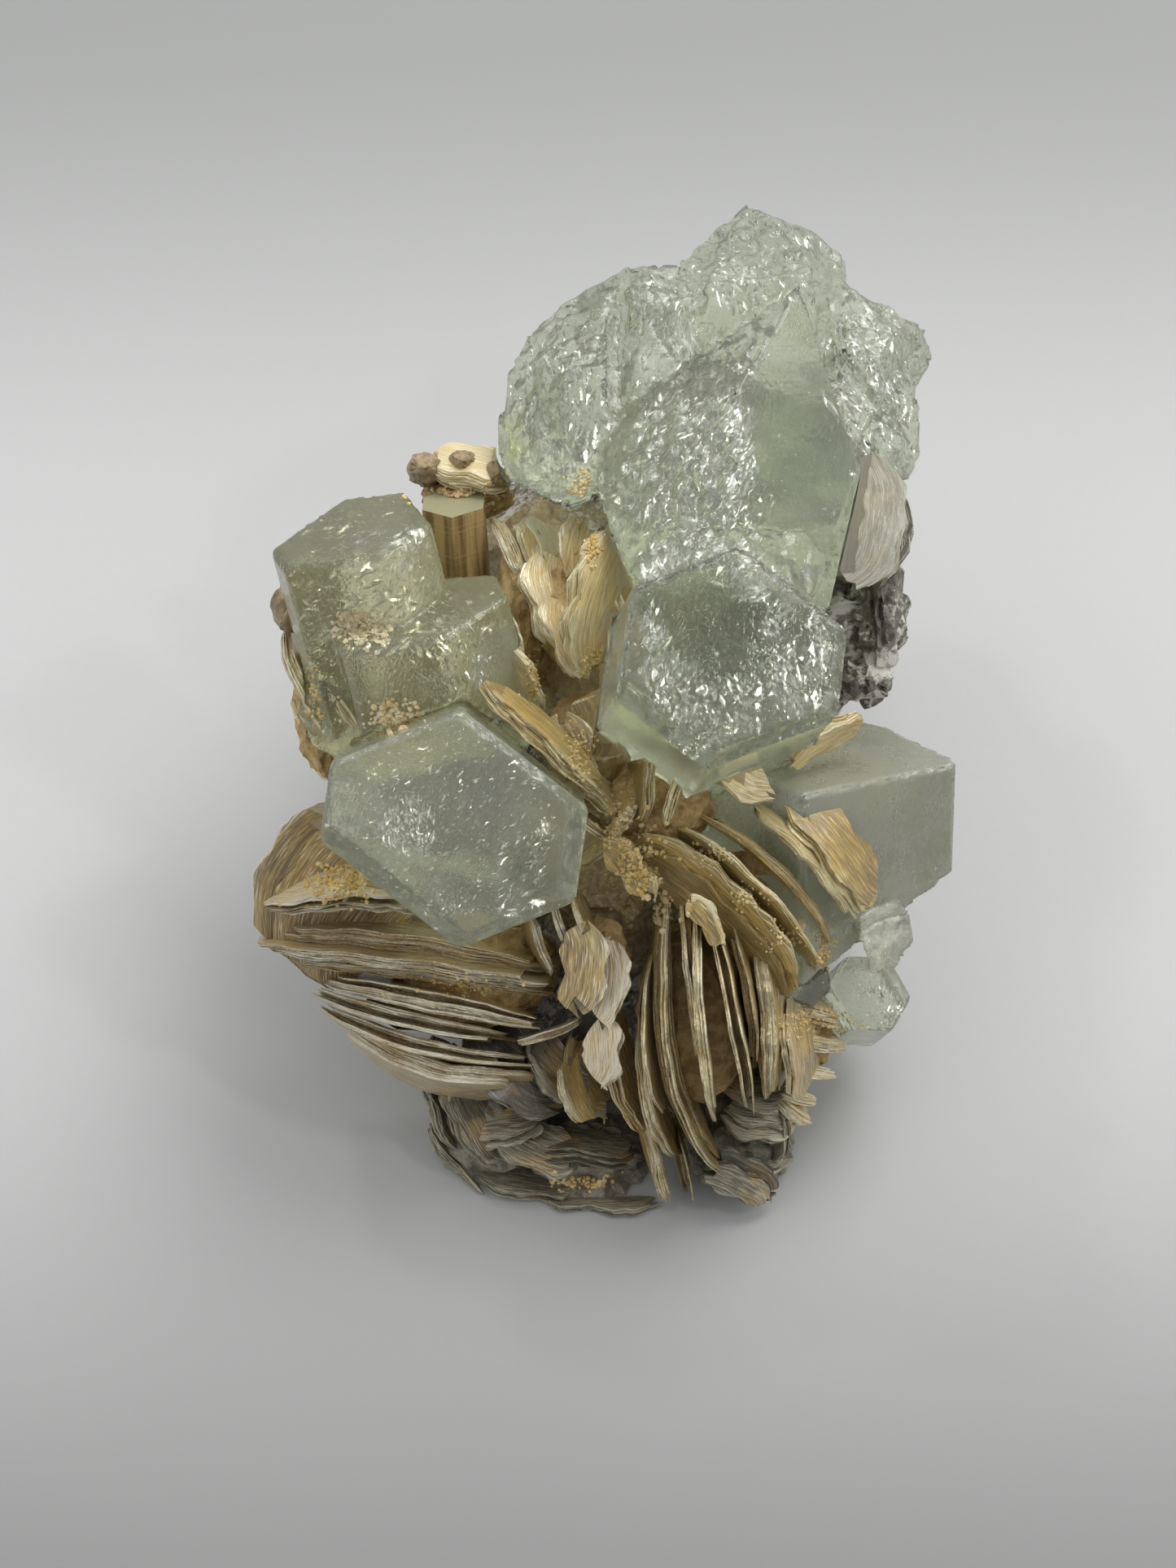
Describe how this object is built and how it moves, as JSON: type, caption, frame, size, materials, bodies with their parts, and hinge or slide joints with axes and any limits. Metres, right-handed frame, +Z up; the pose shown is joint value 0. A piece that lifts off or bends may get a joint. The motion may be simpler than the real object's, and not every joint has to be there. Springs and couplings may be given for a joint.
{
  "type": "aquamarine specimen",
  "caption": "Cabinet mineral specimen: pale green hexagonal beryl crystals grown with curved books of muscovite mica on pegmatite rock.",
  "frame": {"origin": "centre of the flat underside of the rock, on the surface the specimen rests on", "axes": "+Z up from the resting surface; +Y away from the viewer, towards the tall broken crystals; +X to the viewer's right"},
  "size_m": [0.0687, 0.0953, 0.0607],
  "materials": {
    "beryl": "clear pale grey-green crystal, lightly etched, with cracks and veils inside",
    "mica_silver": "pearly silver-brown cleavage edges",
    "mica_gold": "golden brown iron-stained sheets",
    "mica_grey": "grey silvery plates",
    "mica_cream": "cream and tan weathered books",
    "rock": "rough grey-brown pegmatite with mica flakes"
  },
  "bodies": {
    "root": {"aquamarine_cluster": "beryl", "aquamarine_front_left": "beryl", "aquamarine_right": "beryl", "aquamarine_left": "beryl", "aquamarine_small_right": "beryl", "aquamarine_pocket": "beryl", "clear_shard": "beryl", "bronze_prism": "mica_gold", "mica_golden_blade": "mica_gold", "mica_front_fan": "mica_silver", "mica_left_fan": "mica_silver", "mica_right_fan": "mica_gold", "mica_centre_books": "mica_gold", "mica_upper_books": "mica_cream", "mica_centre_plates": "mica_cream", "mica_yellow_plates": "mica_gold", "mica_back_left": "mica_cream", "mica_left_edge": "mica_cream", "mica_striped_book": "mica_silver", "mica_right_ledge": "mica_cream", "mica_base_right": "mica_grey", "mica_base_left": "mica_grey", "mica_rear_books": "mica_grey", "pegmatite_rock": "rock"}
  },
  "joints": []
}
